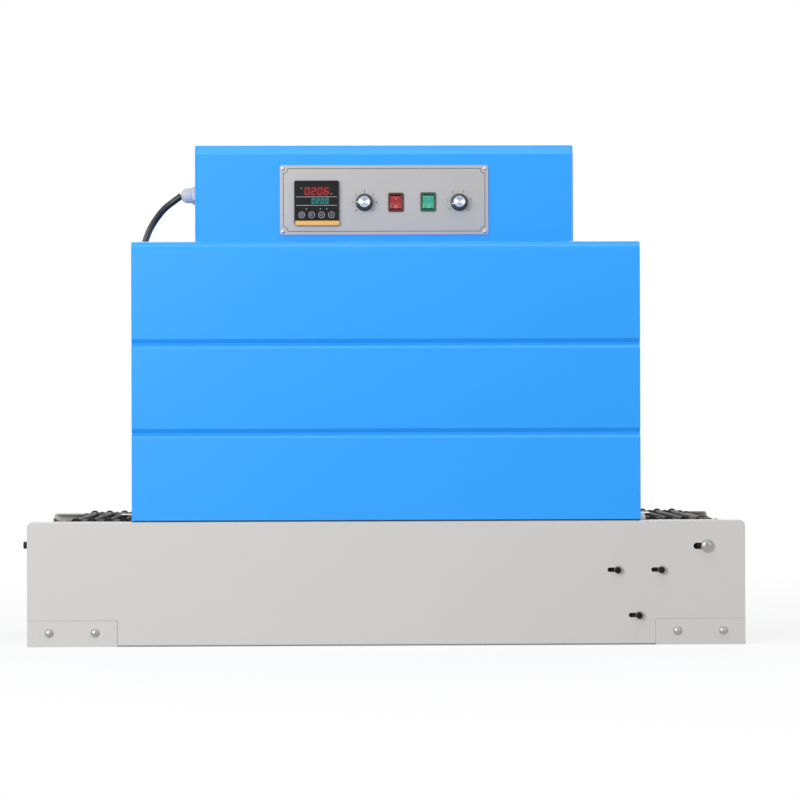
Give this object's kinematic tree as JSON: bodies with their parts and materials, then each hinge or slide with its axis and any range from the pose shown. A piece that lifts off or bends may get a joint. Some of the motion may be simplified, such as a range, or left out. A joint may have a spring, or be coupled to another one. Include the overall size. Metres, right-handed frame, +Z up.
{
  "type": "shrink wrapping machine",
  "caption": "Table-top shrink wrapping machine: a heated tunnel over a rod-and-chain conveyor, with a control box on its roof.",
  "frame": {"origin": "on the surface that the machine stands on, at the middle of the base", "axes": "+X along the conveyor, +Y from the control side to the rear, +Z up"},
  "size_m": [1.13, 0.56, 0.799],
  "materials": {
    "base_paint": "satin powder coat, light grey",
    "blue_paint": "satin powder coat, sky blue",
    "galvanised": "bright zinc-coated sheet",
    "chain_steel": "oiled steel",
    "bright_steel": "turned steel",
    "rod_sleeve": "heat-proof black sleeve",
    "black_plastic": "moulded, fine grain",
    "gloss_black": "moulded, polished",
    "brushed_plate": "brushed along its length",
    "spun_metal": "spun finish",
    "cast_metal": "die cast",
    "red_plastic": "translucent red",
    "dark_red_plastic": "dark red frame",
    "green_plastic": "translucent green",
    "dark_green_plastic": "dark green frame",
    "gland_nylon": "moulded nylon",
    "cord_rubber": "smooth black jacket",
    "curtain_cloth": "coated glass cloth"
  },
  "bodies": {
    "machine": {"front_side_panel": "base_paint", "rear_side_panel": "base_paint", "bottom_pan": "base_paint", "left_foot": "base_paint", "right_foot": "base_paint", "drive_shaft": "bright_steel", "idler_shaft": "bright_steel", "bearing_blocks": "cast_metal", "sprockets": "chain_steel", "front_chain": "chain_steel", "rear_chain": "chain_steel", "conveyor_rods": "rod_sleeve", "rod_end_discs": "black_plastic", "chain_rails": "galvanised", "gear_motor": "cast_metal", "drive_chain": "chain_steel", "chamber_shell": "blue_paint", "left_end_wall": "blue_paint", "right_end_wall": "blue_paint", "tunnel_lining": "galvanised", "chain_guards": "galvanised", "curtain_bars": "galvanised", "left_curtain": "curtain_cloth", "right_curtain": "curtain_cloth", "control_box": "blue_paint", "box_rear_cover": "blue_paint", "faceplate": "brushed_plate", "controller": "black_plastic", "controller_keys": "black_plastic", "red_switch_frame": "dark_red_plastic", "green_switch_frame": "dark_green_plastic", "cable_gland": "gland_nylon", "power_cord": "cord_rubber", "cord_coil": "cord_rubber", "cord_plug": "cord_rubber"},
    "left_dial": {"left_knob": "gloss_black", "left_knob_cap": "spun_metal"},
    "right_dial": {"right_knob": "gloss_black", "right_knob_cap": "spun_metal"},
    "red_switch": {"red_rocker": "red_plastic"},
    "green_switch": {"green_rocker": "green_plastic"}
  },
  "joints": [
    {"name": "left_dial_turn", "type": "hinge", "parent": "machine", "child": "left_dial", "pos_m": [-0.032, -0.142, 0.706], "axis": [0, 1, 0], "range_deg": [-60, 240]},
    {"name": "right_dial_turn", "type": "hinge", "parent": "machine", "child": "right_dial", "pos_m": [0.121, -0.142, 0.706], "axis": [0, 1, 0], "range_deg": [-30, 270]},
    {"name": "red_switch_tip", "type": "hinge", "parent": "machine", "child": "red_switch", "pos_m": [0.019, -0.138, 0.706], "axis": [-1, 0, 0], "range_deg": [0, 16]},
    {"name": "green_switch_tip", "type": "hinge", "parent": "machine", "child": "green_switch", "pos_m": [0.071, -0.138, 0.7065], "axis": [-1, 0, 0], "range_deg": [0, 16]}
  ]
}
